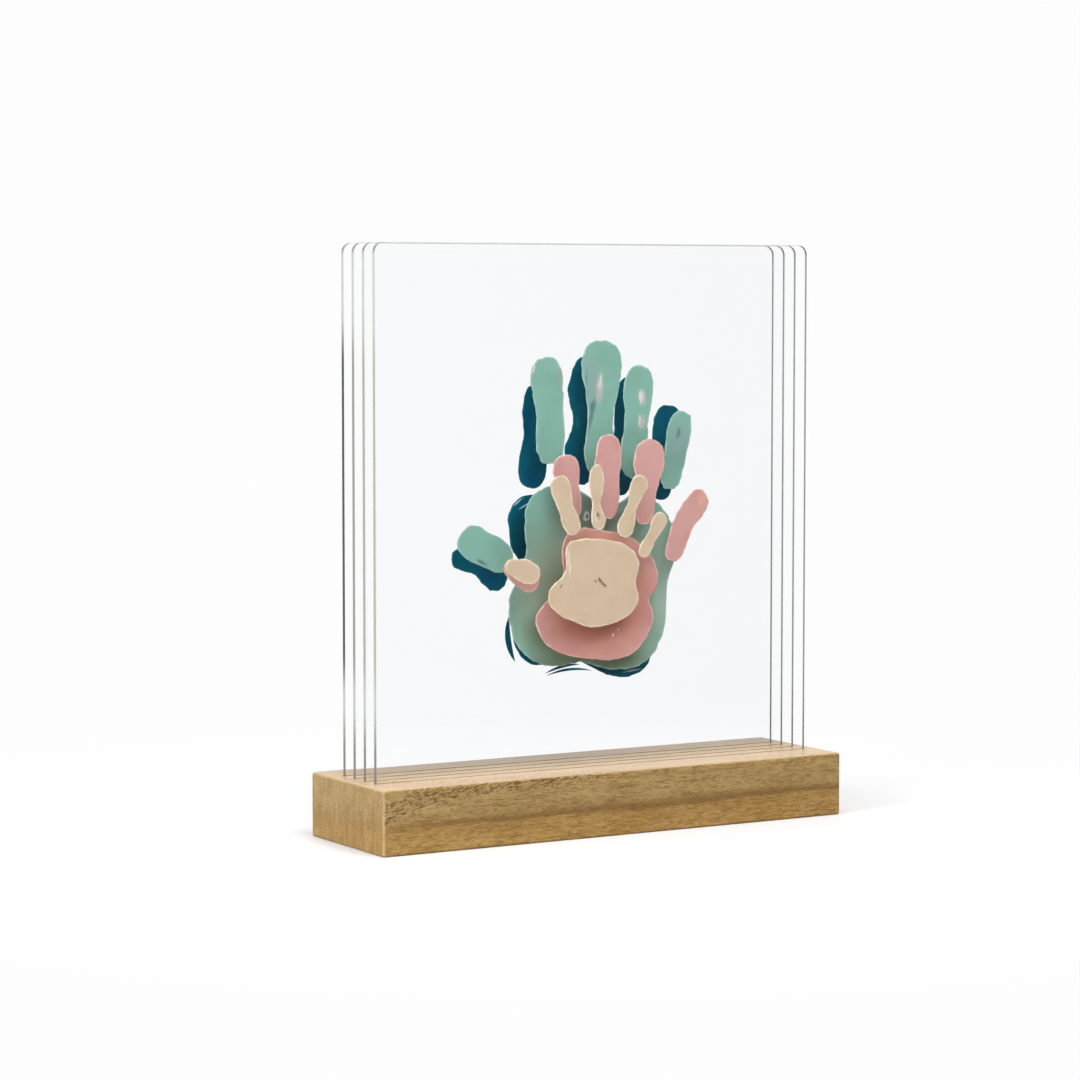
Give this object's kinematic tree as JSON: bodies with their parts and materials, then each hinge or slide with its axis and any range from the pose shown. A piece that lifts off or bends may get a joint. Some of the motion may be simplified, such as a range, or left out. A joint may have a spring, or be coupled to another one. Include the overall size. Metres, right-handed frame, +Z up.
{
  "type": "handprint display frame",
  "caption": "Upright clear panels, each with one painted handprint, standing one behind the other in the slots of a solid wooden base.",
  "frame": {"origin": "middle of the base's underside", "axes": "+Z up, X along the base and the panels, -Y towards the front, where the smallest handprint is"},
  "size_m": [0.245, 0.07, 0.2695],
  "materials": {
    "wood": "bare sanded hardwood",
    "clear_acrylic": "clear polished sheet",
    "cream_paint": "dried paint",
    "pink_paint": "dried paint",
    "sage_paint": "dried paint",
    "blue_paint": "dried paint"
  },
  "bodies": {
    "base": {"wooden_base": "wood"},
    "baby_sheet": {"baby_panel": "clear_acrylic", "baby_palm_print": "cream_paint", "baby_thumb_print": "cream_paint", "baby_index_print": "cream_paint", "baby_middle_print": "cream_paint", "baby_ring_print": "cream_paint", "baby_little_print": "cream_paint"},
    "child_sheet": {"child_panel": "clear_acrylic", "child_palm_print": "pink_paint", "child_thumb_print": "pink_paint", "child_index_print": "pink_paint", "child_middle_print": "pink_paint", "child_ring_print": "pink_paint", "child_little_print": "pink_paint"},
    "mother_sheet": {"mother_panel": "clear_acrylic", "mother_palm_print": "sage_paint", "mother_thumb_print": "sage_paint", "mother_index_print": "sage_paint", "mother_middle_print": "sage_paint", "mother_ring_print": "sage_paint", "mother_little_print": "sage_paint"},
    "father_sheet": {"father_panel": "clear_acrylic", "father_palm_print": "blue_paint", "father_thumb_print": "blue_paint", "father_index_print": "blue_paint", "father_middle_print": "blue_paint", "father_ring_print": "blue_paint", "father_little_print": "blue_paint", "father_heel_streak": "blue_paint", "father_upper_wrist_streak": "blue_paint", "father_lower_wrist_streak": "blue_paint"}
  },
  "joints": [
    {"name": "baby_panel_lift", "type": "slide", "parent": "base", "child": "baby_sheet", "axis": [0, 0, 1], "range_m": [0, 0.02]},
    {"name": "child_panel_lift", "type": "slide", "parent": "base", "child": "child_sheet", "axis": [0, 0, 1], "range_m": [0, 0.02]},
    {"name": "mother_panel_lift", "type": "slide", "parent": "base", "child": "mother_sheet", "axis": [0, 0, 1], "range_m": [0, 0.02]},
    {"name": "father_panel_lift", "type": "slide", "parent": "base", "child": "father_sheet", "axis": [0, 0, 1], "range_m": [0, 0.02]}
  ]
}
